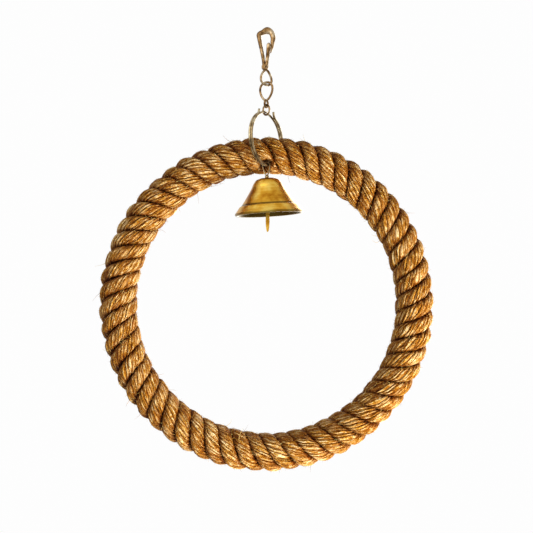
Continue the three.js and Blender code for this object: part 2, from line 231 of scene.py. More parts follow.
# %% [markdown]
# ## Rope: room for the split ring
# The split ring is forced between the strands and beds itself in them. Cutting the strands would
# leave sawn edges, so the surface is pushed in towards the rope's middle until it lies behind the
# wire, where the wire runs close under the surface. Deeper in, the yarns close over it.

# %% Push the surface behind a wire
CLOSING_DEPTH = 1.6
BANK_SLOPE = 2.2


def push_behind(points, path, room, open_depth):
    """Moves points inwards that would lie over the wire, where it is less than open_depth deep."""
    middle_along = np.arctan2(points[:, 0], points[:, 2] - rope_centre)
    middle = on_rope(middle_along, 0.0, 0.0)
    reach = np.linalg.norm(points[:, None] - path[None], axis=2)
    nearest = reach.argmin(1)
    wire = path[nearest]
    tangent = unit(np.gradient(path, axis=0))[nearest]
    inward = middle - points
    inward -= (inward * tangent).sum(1, keepdims=True) * tangent
    inward = unit(inward)
    side = np.cross(tangent, inward)
    offset = points - wire
    depth = (offset * inward).sum(1)
    beside = np.hypot((offset * side).sum(1), (offset * tangent).sum(1))
    over_wire = np.sqrt(np.maximum(room**2 - beside**2, 0))
    wanted = np.where(beside < room, over_wire, (room - beside) * BANK_SLOPE)
    push = np.where(reach.min(1) < open_depth + 2 * room, np.maximum(wanted - depth, 0), 0)
    fade = np.clip((depth + open_depth) / CLOSING_DEPTH, 0, 1)
    return points + inward * (push * fade * fade * (3 - 2 * fade))[:, None]


# %% [markdown]
# ## Split ring: its path
# A split ring is one flat wire wound in two turns that lie side by side. It steps across from the
# first turn to the second in a short arc, and its two tips are bent outwards. The path comes before
# the rope is built, because the rope makes room for it.

# %% Path of the split ring
SPLIT_OUTSIDE = 42.0
SPLIT_WIRE = (1.7, 1.65)
COIL_GAP = 0.35
SPLIT_TURN = 55.0
SPLIT_END = 20.0
STEP_ARC = 16.0
FLICK_ARC = 9.0
FLICKS = (3.4, 2.6)
RING_BITE = 9.0
SPLIT_STEPS = 420
MIDDLE_STEPS = 240

split_mid = (SPLIT_OUTSIDE - SPLIT_WIRE[0]) / 2
split_centre = (rope_centre + mid_radius) - RING_BITE + split_mid
split_bottom = split_centre - split_mid
split_normal = turn_about([[0, 1, 0]], "Z", SPLIT_TURN)[0]


def split_path():
    turn = np.linspace(SPLIT_END, 720 - SPLIT_END, SPLIT_STEPS)
    share = np.clip((turn - 360 + STEP_ARC) / (2 * STEP_ARC), 0, 1)
    side = -(SPLIT_WIRE[1] + COIL_GAP) / 2 * np.cos(share * np.pi)
    at_start = np.maximum(0, 1 - (turn - turn[0]) / FLICK_ARC)
    at_end = np.maximum(0, 1 - (turn[-1] - turn) / FLICK_ARC)
    radius = split_mid + FLICKS[0] * at_start**2 + FLICKS[1] * at_end**2
    angle = np.radians(turn)
    path = np.stack([radius * np.sin(angle), side, split_centre + radius * np.cos(angle)], -1)
    return turn_about(path, "Z", SPLIT_TURN)


def split_middle():
    """The middle line between the two turns."""
    turn = np.linspace(0, 2 * np.pi, MIDDLE_STEPS, endpoint=False)
    path = np.stack([split_mid * np.sin(turn), 0 * turn, split_centre + split_mid * np.cos(turn)], -1)
    return turn_about(path, "Z", SPLIT_TURN)


# %% [markdown]
# ## Bell hanger: its path
# The hanger is a wire loop round both turns of the split ring. Above the split ring it is as wide as
# the two turns need, and below it runs down in a narrow hairpin to the bell's crown. The bell swings
# on it, so the strands need room for the loop at both ends of its swing.

# %% Path of the bell hanger
LOOP_STEPS = 160
HANGER_WIRE = 1.1
HANGER_DROP = 5.2
HANGER_TAPER = 0.3
HAIRPIN = 2.6
PLAY = 0.12
FIT_GAP = 0.3
RUN_GAP = 0.2
BELL_SWING = 3.5
LINK_TURN = SPLIT_TURN - 90

bell_origin = joint_point("bell_swing")
hanger_width = 2 * (SPLIT_WIRE[1] + COIL_GAP / 2 + 2 * FIT_GAP + HANGER_WIRE)
hanger_top = (SPLIT_WIRE[0] + HANGER_WIRE) / 2 + FIT_GAP + RUN_GAP
hairpin_bottom = -HANGER_DROP - HAIRPIN


def hanger_loop(steps=LOOP_STEPS):
    t = np.linspace(0, 2 * np.pi, steps, endpoint=False)
    tail = np.where(np.cos(t) < 0, HAIRPIN, 0)
    x = ((hanger_width - HANGER_WIRE) / 2 + PLAY) * np.sin(t) * (1 + HANGER_TAPER * np.cos(t))
    z = (hanger_top - HANGER_DROP) / 2 + ((hanger_top + HANGER_DROP) / 2 + PLAY + tail) * np.cos(t)
    return turn_about(np.stack([x, 0 * t, z], -1), "Z", LINK_TURN)


def on_bell(points):
    """From the bell's own upright frame to the world."""
    return turn_about(points, "Y", -BELL_SWING) + bell_origin


def swung_to_perch(points, degrees):
    """World points after the bell has swung, in the perch's upright frame."""
    axis = Vector(joints["bell_swing"]["axis"])
    return turn_about(turn_about(points, axis, degrees, bell_origin) - perch_origin, "X", lean)


# %% [markdown]
# ## Strands: their shape
# A strand's section is squarish, because its neighbours press on it, most of all on the ring's inner
# side, where they have less room. Its yarns are half-round ridges that swell, thin out and wander by
# the waves above. Each strand is one closed mesh of about 1600 rings of 60 points.

# %% Shape of a strand
YARN_WANDER = 0.28
VALLEY_SWELL = 0.6
VALLEY_LEAST = 0.15
YARN_SWELL = 0.3
YARN_LUMPS = 0.2
STRAND_SWELL = 0.15
SURFACE_FUZZ = 0.08
HEIGHT_SWELL = 0.15
WANDER_SPEEDS = (20, 150)
SWELL_SPEEDS = (15, 120)
LUMP_SPEEDS = (150, 420)
BODY_SPEEDS = (4, 40)
STRAND_SEED = 100


def full_wave(wave, fullness):
    """A sine or cosine whose tops are broadened, so that a section drawn with it is squarish."""
    return np.sign(wave) * np.abs(wave) ** (2 / fullness)


def strand_shape(index):
    """Rings of one strand in the perch's frame, and how high each point stands on its yarn."""
    rng = np.random.default_rng(STRAND_SEED + index)
    count = LAY_TURNS * RINGS_PER_TURN
    sides = YARNS * POINTS_PER_YARN
    start = math.radians(LAY_ANGLE + 360 / STRANDS * index)
    wound = np.arange(count) * 2 * np.pi / RINGS_PER_TURN
    place = np.arange(sides) / POINTS_PER_YARN
    yarn = place.astype(int)
    across = (place - yarn) * 2 - 1

    wander = np.stack([waves(rng, wound, *WANDER_SPEEDS) for _ in range(YARNS + 1)], 1)
    wander[:, YARNS] = wander[:, 0]
    swell = np.stack([waves(rng, wound, *SWELL_SPEEDS) for _ in range(YARNS)], 1)
    lumps = np.stack([waves(rng, wound, *LUMP_SPEEDS) for _ in range(YARNS)], 1)
    body = waves(rng, wound, *BODY_SPEEDS)

    part = (place - yarn)[None]
    drift = wander[:, yarn] * (1 - part) + wander[:, yarn + 1] * part
    wind = (YARN_TURNS / LAY_TURNS) * wound[:, None]
    turn = (2 * np.pi / YARNS) * (place[None] + YARN_WANDER * drift) - wind
    ridge = np.sqrt(np.maximum(1 - across**2, 0))[None]
    lift = -VALLEY_DEPTH * (1 - ridge) * np.maximum(1 + VALLEY_SWELL * swell[:, yarn], VALLEY_LEAST)
    lift = lift + YARN_SWELL * (swell[:, yarn] - 1) * ridge
    lift = lift + YARN_LUMPS * lumps[:, yarn] * ridge
    lift = lift + STRAND_SWELL * (body[:, None] - 1)
    lift = lift + SURFACE_FUZZ * rng.normal(0, 1, lift.shape)

    angle = start + wound[:, None]
    inside = (1 - np.cos(angle)) / 2
    fullness = FULL_OUTSIDE + (FULL_INSIDE - FULL_OUTSIDE) * inside
    wide = half_axial * (PRESSED_OUTSIDE + (PRESSED_INSIDE - PRESSED_OUTSIDE) * inside) + lift
    along = wound[:, None] / LAY_TURNS + wide * full_wave(np.cos(turn), fullness) / mid_radius
    radius = strand_middle + (half_radial + lift) * full_wave(np.sin(turn), fullness)
    points = on_rope(along, angle, radius)
    # How high a point stands on its yarn and how far it faces out of the rope: the finish paints both as
    # shade. The second also picks where loose fibres grow.
    height = np.clip(ridge * (1 - HEIGHT_SWELL + HEIGHT_SWELL * swell[:, yarn]), 0, 1)
    crown = np.sin(turn)
    return points, height, crown


# %% [markdown]
# ## Strands: room for the metal
# The split ring lies bedded in the strands, so they are pushed behind it as described above. The
# bell's hanger swings, so in front of it the strands get a channel. Each point of them that stands
# over the hanger's way sinks on its line to the rope's middle, which keeps the surface from folding.
# The channel has a flat floor and steep sides, because a round one would let the hanger cut its sides.

# %% Channel for the hanger
SPLIT_ROOM = 2.0
SPLIT_DEPTH = 3.6
HANGER_ROOM = 1.35
CHANNEL_HALF = 2.1
WALL_SLOPE = 5.0
LAYER_SHARE = 0.3
SWING_STEPS = 7
LOOP_SPOTS = 48
LINE_SPOTS = 10
METAL_RISE = 6.0
METAL_REACH = 34.0


def swept_by_hanger():
    """Points of the hanger's loop, and of the line between its legs, over the whole swing."""
    drop = np.linspace(0, hairpin_bottom, LINE_SPOTS)
    still = np.concatenate([hanger_loop(LOOP_SPOTS), np.stack([0 * drop, 0 * drop, drop], -1)])
    swing = np.linspace(*joints["bell_swing"]["range_deg"], SWING_STEPS)
    return np.concatenate([swung_to_perch(on_bell(still), degrees) for degrees in swing])


def open_channel(points, wire, room):
    """Sinks points towards the rope's middle until none lies over the wire or less than `room` below."""
    middle = on_rope(np.arctan2(points[:, 0], points[:, 2] - rope_centre), 0.0, 0.0)
    height = np.linalg.norm(points - middle, axis=1)
    outward = (points - middle) / height[:, None]
    floor = np.full(len(points), np.inf)
    for spot in wire:
        lever = spot - middle
        above = (lever * outward).sum(1)
        beside = np.sqrt(np.maximum((lever**2).sum(1) - above**2, 0))
        edge = np.maximum(beside - CHANNEL_HALF, 0) * WALL_SLOPE - room
        floor = np.minimum(floor, np.where(above > 0, above + edge, np.inf))
    over = np.maximum(height - floor, 0)
    kept_order = LAYER_SHARE * over * (ROPE_DIAMETER / 2 - height) / ROPE_DIAMETER
    return points - outward * (over + np.maximum(kept_order, 0))[:, None]


def seat_metal(points):
    """Opens the strands where the split ring and the bell's hanger run, and tells how far."""
    flat = points.reshape(-1, 3)
    close = np.linalg.norm(flat - [0, 0, split_bottom + METAL_RISE], axis=1) < METAL_REACH
    pushed = push_behind(flat[close], split_middle(), SPLIT_ROOM, SPLIT_DEPTH)
    pushed = open_channel(pushed, swept_by_hanger(), HANGER_ROOM)
    moved = np.zeros(len(flat))
    moved[close] = np.linalg.norm(pushed - flat[close], axis=1)
    flat[close] = pushed
    return flat.reshape(points.shape), moved.reshape(points.shape[:2])


# %% [markdown]
# ## Strands: what they store
# Besides its shape, a strand stores for each corner of each face how far along and across its yarn
# it lies, because the finish lays the fibres by that. A texture laid by place alone would run
# straight through the yarns. It also stores how high each point stands on its yarn and on its strand,
# which the finish turns into painted shade in the valleys between yarns and the grooves between strands.

# %% Build the strands
SHADED_PUSH = 3.0
YARN_PER_RADIAN = 34.0
YARN_SURFACE = 6.75
YARN_APART = 37.0


def store(mesh, name, kind, domain, values):
    layer = mesh.attributes.new(name, kind, domain)
    field = "vector" if kind == "FLOAT_VECTOR" else "value"
    layer.data.foreach_set(field, np.asarray(values, np.float32).ravel())


def yarn_places(index, count, sides):
    """For each face's corners, as skin() orders them: place along and across the yarn, and its number.

    On the crowns the stored length is right to about 6 percent. In the grooves the yarn is shorter.
    """
    i, j = np.meshgrid(np.arange(count), np.arange(sides), indexing="ij")
    step = YARN_PER_RADIAN * 2 * np.pi / RINGS_PER_TURN
    local = j % POINTS_PER_YARN
    number = index * YARNS + j // POINTS_PER_YARN
    corners = []
    for ahead, beside in ((0, 0), (0, 1), (1, 1), (1, 0)):
        across = ((local + beside) / POINTS_PER_YARN - 0.5) * YARN_SURFACE
        corners.append(np.stack([(i + ahead) * step, across, number * YARN_APART], -1))
    return np.stack(corners, 2) / 1000


strands = []
strand_rings = []
strand_crowns = []
for index in range(STRANDS):
    rings, height, crown = strand_shape(index)
    rings, moved = seat_metal(rings)
    # Painted shade: points pushed in for the metal are stored as lower, so the finish paints them darker.
    crown = crown - moved / SHADED_PUSH
    points, faces = skin(rings, closed=True)
    strand = make_piece(f"sisal_strand_{index + 1}", on_perch(points), faces)
    store(strand.data, "yarn", "FLOAT_VECTOR", "CORNER", yarn_places(index, *rings.shape[:2]))
    store(strand.data, "height", "FLOAT", "POINT", height)
    store(strand.data, "crown", "FLOAT", "POINT", crown)
    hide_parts(f"rope_strand_{index + 1}")
    strands.append(strand)
    strand_rings.append(rings)
    strand_crowns.append(crown)
    print(strand.name, len(strand.data.polygons), "faces")

# %% [markdown]
# ## Loose fibres
# Sisal sheds: short stiff fibres stand off the yarns and lie across them. A particle system would
# not reach an exported mesh, so each fibre is a thin three-sided tapered tube. Real fibres are
# 0.1 to 0.2 mm thick, and they are drawn a little thicker so that they show.

# %% Grow the loose fibres
FIBRE_STEPS = 6
METAL_CLEARANCE = 8.0
CROWN_PART = 0.55
DRAWS_PER_FIBRE = 5
ROOT_DEPTH = 0.25
TIP_SHARE = 0.25
PALE_RARITY = 1.6
FIBRE_SIDES = 3
FIBRE_SEED = 7


def grow_fibres(rng, count, length, lift, curl, spread, thickness):
    """Rings of `count` fibres that start on the strands' crowns and bend as they go."""
    roots, leads, outs = [], [], []
    for rings, crown in zip(strand_rings, strand_crowns):
        share = count // STRANDS
        i = rng.integers(0, rings.shape[0], share * DRAWS_PER_FIBRE)
        j = rng.integers(0, rings.shape[1], share * DRAWS_PER_FIBRE)
        root = rings[i, j]
        lead = unit(rings[(i + 1) % rings.shape[0], j] - root)
        middle = on_rope(np.arctan2(root[:, 0], root[:, 2] - rope_centre), 0.0, 0.0)
        away = root - middle
        clear = np.linalg.norm(root - [0, 0, split_bottom], axis=1) > METAL_CLEARANCE
        keep = np.flatnonzero((crown[i, j] > CROWN_PART) & clear)[:share]
        roots.append(root[keep])
        leads.append(lead[keep])
        outs.append(unit(away[keep]))
    root, lead, out = (np.concatenate(parts) for parts in (roots, leads, outs))
    total = len(root)
    sideways = np.cross(out, lead)
    lead = unit(lead * rng.choice([-1.0, 1.0], (total, 1)) + sideways * rng.normal(0, spread, (total, 1)))
    rise = rng.uniform(*lift, (total, 1))
    way = unit(lead * (1 - rise) + out * rise)
    bend = unit(rng.normal(0, 1, (total, 3))) * curl * rng.uniform(0.2, 1.0, (total, 1))
    long = rng.uniform(*length, (total, 1)) / (FIBRE_STEPS - 1)
    points = [root - out * ROOT_DEPTH]
    for _ in range(FIBRE_STEPS - 1):
        points.append(points[-1] + way * long)
        way = unit(way + bend)
    path = np.stack(points, 1)
    radius = rng.uniform(*thickness, (total, 1)) / 2
    taper = np.linspace(1, TIP_SHARE, FIBRE_STEPS)[None]
    along = unit(np.gradient(path, axis=1))
    first = unit(np.cross(along, out[:, None] + 0.01))
    second = np.cross(along, first)
    turn = np.arange(FIBRE_SIDES) * 2 * np.pi / FIBRE_SIDES
    size = (radius * taper)[:, :, None, None]
    return (path[:, :, None] + first[:, :, None] * np.cos(turn)[:, None] * size
            + second[:, :, None] * np.sin(turn)[:, None] * size)


def fibre_piece(name, rings, rng):
    total = len(rings)
    corners = FIBRE_STEPS * FIBRE_SIDES
    _, one_fibre = skin(rings[0])
    base = np.arange(total)[:, None, None] * corners
    quads = np.array(one_fibre[:-2])[None] + base
    ends = np.array(one_fibre[-2:])[None] + base
    faces = quads.reshape(-1, 4).tolist() + ends.reshape(-1, 3).tolist()
    piece = make_piece(name, on_perch(rings.reshape(-1, 3)), faces)
    tone = np.repeat(rng.uniform(0, 1, total) ** PALE_RARITY, corners)
    store(piece.data, "tone", "FLOAT", "POINT", tone)
    return piece


rng = np.random.default_rng(FIBRE_SEED)
lying = grow_fibres(rng, 6000, length=(1.8, 4.6), lift=(0.03, 0.18), curl=0.36, spread=0.9,
                    thickness=(0.16, 0.3))
standing = grow_fibres(rng, 5400, length=(0.7, 2.6), lift=(0.3, 0.9), curl=0.42, spread=1.2,
                       thickness=(0.12, 0.2))
stray = grow_fibres(rng, 75, length=(5.0, 11.0), lift=(0.3, 0.7), curl=0.6, spread=1.2,
                    thickness=(0.26, 0.4))
fibres = [fibre_piece("lying_fibres", lying, rng), fibre_piece("standing_fibres", standing, rng),
          fibre_piece("stray_yarns", stray, rng)]
print("fibres:", sum(len(piece.data.polygons) for piece in fibres), "faces")

# %% [markdown]
# ## Core and hoop
# Inside the strands a soft cord of three yarns is bent round a steel hoop, which keeps the ring
# round. The picture doesn't show them, but the rope is made round them, so they are here too. The
# cord is a hollow skin with a twisted lobe for each yarn, open where its two ends meet, and the hoop
# is a plain closed wire. Yarns as separate tubes would cost more mesh than a hidden piece is worth.

# %% Core cord and hoop wire
CORE_RADIUS = 3.3
CORE_BORE = 1.8
CORE_LOBES = 3
CORE_TWIST = 40
LOBE_DEPTH = 0.7
CORE_BUTT = 1.2
CORE_STEPS = 960
BORE_STEPS = 240
HOOP_RADIUS = 1.5
HOOP_STEPS = 360


def round_the_ring(start, stop, steps, radius, lobe_depth=0.0, sides=24):
    """Rings round the rope's middle line, with twisted lobes if they have a depth."""
    along = np.linspace(start, stop, steps)[:, None]
    angle = np.linspace(0, 2 * np.pi, sides, endpoint=False)[None]
    lobe = np.abs(np.cos(CORE_LOBES / 2 * (angle + CORE_TWIST * along)))
    return on_rope(along, angle, radius - lobe_depth * (1 - lobe))


half_butt = CORE_BUTT / mid_radius / 2
core_start = np.pi + half_butt
core_stop = 3 * np.pi - half_butt
outside = round_the_ring(core_start, core_stop, CORE_STEPS, CORE_RADIUS, LOBE_DEPTH)
inside = round_the_ring(core_stop, core_start, BORE_STEPS, CORE_BORE)
core_points, core_faces = skin(np.concatenate([outside, inside]), closed=True)
core = make_piece("laid_core_cord", on_perch(core_points), core_faces)
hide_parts("core_cord")
last_turn = 2 * np.pi * (HOOP_STEPS - 1) / HOOP_STEPS
hoop_points, hoop_faces = skin(round_the_ring(0, last_turn, HOOP_STEPS, HOOP_RADIUS, sides=16), closed=True)
hoop = make_piece("steel_hoop", on_perch(hoop_points), hoop_faces)
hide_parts("hoop_wire")
print("core and hoop:", len(core.data.polygons), "and", len(hoop.data.polygons), "faces")

# %% [markdown]
# ## Split ring
# The wire is nearly square with worn corners, so its section is a squarish oval. It is swept along
# the path from above, where a helix would lean and leave no clean step from turn to turn.

# %% Split ring wire
SPLIT_SQUARENESS = 2.4

split_rings = sweep(split_path(), split_normal, SPLIT_WIRE[0] / 2, SPLIT_WIRE[1] / 2,
                    closed=False, squareness=SPLIT_SQUARENESS)
split_points, split_faces = skin(split_rings)
split_ring = make_piece("split_ring_wire", on_perch(split_points), split_faces)
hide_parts("split_ring")
print(split_ring.name, len(split_ring.data.polygons), "faces")

# %% [markdown]
# ## Cast and bent metal
# The snap hook is cast in one piece, and the links are bent wire whose loops are brazed. A voxel
# remesh melts overlapping skins into one body with soft inner corners, which is what casting and
# brazing leave, and a little smoothing takes the voxel steps away.

# %% Melt skins into one body
def melt(name, skins, voxel, smoothing=6):
    points, faces = [], []
    for more, quads in skins:
        base = sum(len(part) for part in points)
        points.append(more)
        faces += [[corner + base for corner in face] for face in quads]
    piece = make_piece(name, np.concatenate(points), faces)
    remesh = piece.modifiers.new("melt", "REMESH")
    remesh.mode = "VOXEL"
    remesh.voxel_size = voxel / 1000
    smooth = piece.modifiers.new("polish", "SMOOTH")
    smooth.factor = 0.5
    smooth.iterations = smoothing
    return apply_modifiers(piece)


def apply_modifiers(piece):
    graph = bpy.context.evaluated_depsgraph_get()
    finished = bpy.data.meshes.new_from_object(piece.evaluated_get(graph))
    piece.modifiers.clear()
    piece.data = finished
    finished.polygons.foreach_set("use_smooth", [True] * len(finished.polygons))
    return piece


def loop(width, wire, top, bottom, taper, turn):
    """Skin of a wire loop that hangs on the Z axis, wider at the top for a positive taper."""
    t = np.linspace(0, 2 * np.pi, LOOP_STEPS, endpoint=False)
    x = (width - wire) / 2 * np.sin(t) * (1 + taper * np.cos(t))
    z = (top + bottom) / 2 + (top - bottom) / 2 * np.cos(t)
    path = turn_about(np.stack([x, 0 * t, z], -1), "Z", turn)
    normal = turn_about([[0, 1, 0]], "Z", turn)[0]
    return skin(sweep(path, normal, wire / 2, wire / 2), closed=True)


def turned_skin(profile, segments=64):
    """Skin of a closed profile of (radius, height) points turned round the Z axis."""
    profile = np.asarray(profile, float)
    turn = np.linspace(0, 2 * np.pi, segments, endpoint=False)
    return skin(np.stack([profile[None, :, 0] * np.cos(turn)[:, None],
                          profile[None, :, 0] * np.sin(turn)[:, None],
                          np.broadcast_to(profile[None, :, 1], (segments, len(profile)))], -1), closed=True)


# %% [markdown]
# ## Snap hook
# One bar swells and tapers from the boss, up the leg, over the arch and down the nose. Stations
# along it give its place and thickness, and a smooth curve runs through them. A round boss and the
# eye for the first link are melted onto it. Box modelling would do as well, but stations say in a
# few numbers what the casting's form is.

# %% Snap hook
HOOK_GAP = 6.0
HOOK_LENGTH = 24.8
ARCH_THICK = 5.6
LEG_THICK = 3.4
NOSE_THICK = 2.9
NOSE_DROP = 9.5
HOOK_DEPTH = 3.4
BAR_SQUARENESS = 2.3
BAR_FLATNESS = 1.2
BOSS_RADIUS = 2.7
BOSS_OFFSET = 0.9
EYE_WIRE = 1.9
EYE_WIDTH = 12.7
EYE_HEIGHT = 13.9
EYE_TURN = 45.0
EYE_TAPER = -0.35
GATE_WIRE = 1.5
GATE_TOP = 7.6
GATE_LEG = 2.8
GATE_FOOT = 4.0
GATE_HEAD = 1.0
JUST_SHORT = 1e-6
NEAR_AXIS = 0.01

boss_x = -BOSS_OFFSET
boss_z = -HOOK_LENGTH
nose_x = (HOOK_GAP + NOSE_THICK) / 2
leg_x = -(HOOK_GAP + LEG_THICK) / 2


def through(stations, steps):
    """A smooth curve through stations: each stretch is bent by the stations beside it."""
    stations = np.asarray(stations, float)
    padded = np.concatenate([2 * stations[:1] - stations[1:2], stations, 2 * stations[-1:] - stations[-2:-1]])
    at = np.linspace(0, len(stations) - 1 - JUST_SHORT, steps)
    i = at.astype(int)
    t = (at - i)[:, None]
    a, b, c, d = padded[i], padded[i + 1], padded[i + 2], padded[i + 3]
    return 0.5 * (2 * b + (c - a) * t + (2 * a - 5 * b + 4 * c - d) * t**2 + (3 * b - a - 3 * c + d) * t**3)


# Each station gives its place across, its place up and the bar's thickness there.
bar = through([
    [boss_x - 0.2 * LEG_THICK, boss_z, LEG_THICK * 0.85],
    [boss_x + 0.36 * (leg_x - boss_x), boss_z * 0.76, LEG_THICK * 0.8],
    [boss_x + 0.76 * (leg_x - boss_x), boss_z * 0.44, LEG_THICK * 0.85],
    [leg_x - 0.15 * LEG_THICK, boss_z * 0.14, LEG_THICK],
    [leg_x - 0.22 * LEG_THICK, -ARCH_THICK * 0.03, LEG_THICK * 1.08],
    [leg_x * 0.56, ARCH_THICK * 0.27, ARCH_THICK * 0.72],
    [HOOK_GAP * 0.12, ARCH_THICK * 0.5, ARCH_THICK * 0.98],
    [nose_x * 0.84, ARCH_THICK * 0.24, ARCH_THICK * 0.76],
    [nose_x + 0.24 * NOSE_THICK, -NOSE_DROP * 0.24, ARCH_THICK * 0.72],
    [nose_x + 0.12 * NOSE_THICK, -NOSE_DROP * 0.62, NOSE_THICK * 1.15],
    [nose_x, -NOSE_DROP, NOSE_THICK * 0.82],
    [nose_x - 0.4 * NOSE_THICK, -NOSE_DROP * 1.5, NOSE_THICK * 0.28],
], steps=220)
bar_path = np.stack([bar[:, 0], 0 * bar[:, 0], bar[:, 1]], -1)
bar_half = bar[:, 2] / 2
FRONT = np.array([0.0, 1.0, 0.0])
half_depth = HOOK_DEPTH / 2
bar_skin = skin(sweep(bar_path, FRONT, bar_half, np.minimum(half_depth, bar_half * BAR_FLATNESS),
                      sides=24, closed=False, squareness=BAR_SQUARENESS))

boss_side = [(NEAR_AXIS, half_depth), (BOSS_RADIUS * 0.8, half_depth), (BOSS_RADIUS, half_depth * 0.75)]
boss_profile = boss_side + [(out, -up) for out, up in reversed(boss_side)]
boss_points, boss_faces = turned_skin(boss_profile)
boss_skin = (turn_about(boss_points, "X", 90) + [boss_x, 0, boss_z], boss_faces)
eye_top = boss_z - BOSS_RADIUS * 0.85
eye_bottom = boss_z - BOSS_RADIUS - EYE_HEIGHT + EYE_WIRE * 1.5
eye_skin = loop(EYE_WIDTH, EYE_WIRE, eye_top, eye_bottom, EYE_TAPER, EYE_TURN)
hook = melt("snap_hook_casting", [bar_skin, boss_skin, eye_skin], voxel=0.17)
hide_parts("snap_hook")
print(hook.name, len(hook.data.polygons), "faces")

# %% [markdown]
# ## Gate
# The gate is a U of spring wire whose feet turn in and sit in the boss, where a bore is drilled for
# them. From the front its legs look broader than the wire, so the sweep is wider there than at the
# feet and the top. A boolean cuts the bore, because a melted body has no faces to leave open.

# %% Bore for the gate
BORE_SIDES = 32


def drill(piece, points, faces):
    tool = make_piece("drill", points, faces)
    cut = piece.modifiers.new("bore", "BOOLEAN")
    cut.operation = "DIFFERENCE"
    cut.object = tool
    cut.solver = "EXACT"
    apply_modifiers(piece)
    bpy.data.objects.remove(tool)


pin_x = joint_point("gate_open")[0]
bore_radius = GATE_WIRE / 2 + FIT_GAP
bore_turn = np.linspace(0, 2 * np.pi, BORE_SIDES, endpoint=False)
bore_round = np.stack([pin_x + bore_radius * np.cos(bore_turn), 0 * bore_turn,
                       boss_z + bore_radius * np.sin(bore_turn)], -1)
drill(hook, *skin(np.stack([bore_round - FRONT * HOOK_DEPTH, bore_round + FRONT * HOOK_DEPTH])))
print(f"bore of {2 * bore_radius:.1f} mm for a wire of {GATE_WIRE:.1f} mm")

# %% Gate
FOOT_REACH = 0.35
CORNER_BEND = 0.75
CORNER_STEPS = 10
FOOT_WIDENING = 0.6


def rounded(corners, radius):
    """Replaces each inner corner of a path by a small arc."""
    path = [np.array(corners[0], float)]
    for before, corner, after in zip(corners, corners[1:], corners[2:]):
        corner = np.array(corner, float)
        back = corner + unit(np.array(before) - corner) * radius
        on = corner + unit(np.array(after) - corner) * radius
        t = np.linspace(0, 1, CORNER_STEPS)[:, None]
        path.extend((1 - t) ** 2 * back + 2 * t * (1 - t) * corner + t**2 * on)
    path.append(np.array(corners[-1], float))
    return np.array(path)


gate_half = half_depth + FIT_GAP + GATE_WIRE / 2
foot_end = FOOT_REACH * half_depth
bar_x = HOOK_GAP / 2 - FIT_GAP - GATE_WIRE / 2
foot = np.array([pin_x, 0, boss_z])
rise = np.array([bar_x, 0, -GATE_TOP]) - foot
gate_up = unit(rise)
gate_tall = np.linalg.norm(rise)
corners = [foot + FRONT * across + gate_up * up for across, up in (
    (-foot_end, 0), (-gate_half, 0), (-gate_half, gate_tall),
    (gate_half, gate_tall), (gate_half, 0), (foot_end, 0))]
gate_path = rounded(corners, GATE_WIRE * CORNER_BEND)
risen = (gate_path - foot) @ gate_up
on_leg = np.clip(np.minimum(risen / GATE_FOOT, (gate_tall - risen) / GATE_HEAD), 0, 1)
gate_wide = GATE_WIRE / 2 + FIT_GAP * FOOT_WIDENING + (GATE_LEG - GATE_WIRE) / 2 * on_leg
gate_rings = sweep(gate_path, unit(np.cross(FRONT, gate_up)), GATE_WIRE / 2, gate_wide, closed=False)
gate = make_piece("spring_gate", *skin(gate_rings))
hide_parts("snap_gate")
print(gate.name, f"{gate_tall:.1f} mm tall")

# %% [markdown]
# ## Links
# The upper link is a large loop brazed to a small one that stands across it. The lower link is a
# plain oval. Each hangs in the one above with a hair's breadth of play. A torus would make only a
# round link, so the ovals are swept, and the brazed pair is melted together like the hook.

# %% Two chain links
UPPER_WIRE = 1.8
UPPER_SIZE = (12.9, 15.4)
UPPER_TAPER = 0.25
SMALL_SIZE = (6.0, 7.2)
LOWER_WIRE = 1.5
LOWER_SIZE = (7.3, 9.1)

upper_top = eye_bottom + (EYE_WIRE + UPPER_WIRE) / 2 + RUN_GAP
upper_bottom = upper_top - UPPER_SIZE[1] + UPPER_WIRE
small_bottom = upper_bottom - SMALL_SIZE[1] + UPPER_WIRE
large_skin = loop(UPPER_SIZE[0], UPPER_WIRE, upper_top, upper_bottom, UPPER_TAPER, LINK_TURN)
small_skin = loop(SMALL_SIZE[0], UPPER_WIRE, upper_bottom, small_bottom, 0, SPLIT_TURN)
upper_link = melt("upper_chain_link", [large_skin, small_skin], voxel=0.14)
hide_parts("upper_link")
lower_top = small_bottom + (UPPER_WIRE + LOWER_WIRE) / 2 + RUN_GAP
lower_bottom = lower_top - LOWER_SIZE[1] + LOWER_WIRE
lower_skin = loop(LOWER_SIZE[0], LOWER_WIRE, lower_top, lower_bottom, 0, LINK_TURN)
lower_link = make_piece("lower_chain_link", *lower_skin)
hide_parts("lower_link")
print(f"links end at {lower_bottom:.2f} mm, the perch starts at {perch_origin[2]:.2f} mm")

# %% [markdown]
# ## Bell hanger
# A wire loop goes round the split ring and closes on a stem. The stem holds the bell's crown between
# two beads and ends in an eye inside the bell. Such a hanger is bent from wire and brazed, so its
# skins are melted into one. Hanger and bell lean 3.5 degrees aside, as the photograph shows.

# %% Bell hanger
STEM_RADIUS = 1.0
STEM_LENGTH = 12.6
BEADS = (1.6, 2.3)
BEAD_HEIGHT = 1.7
CROWN_DROP = 10.2
BEAD_WAIST = 0.72
BEAD_SINK = 0.1
LOOP_FLATNESS = 0.1
INNER_EYE = (1.9, 1.0)
BELL_WALL = 1.0

crown_top = -CROWN_DROP
crown_under = crown_top - BELL_WALL
inner_top = -STEM_LENGTH
inner_bottom = inner_top - 2 * INNER_EYE[0]


def bead(radius, top):
    bulge = np.linspace(0, np.pi, 12)
    out = radius * (BEAD_WAIST + (1 - BEAD_WAIST) * np.sin(bulge))
    down = top - BEAD_HEIGHT * (1 - np.cos(bulge)) / 2
    return turned_skin([(NEAR_AXIS, top), *zip(out, down), (NEAR_AXIS, top - BEAD_HEIGHT)], segments=40)


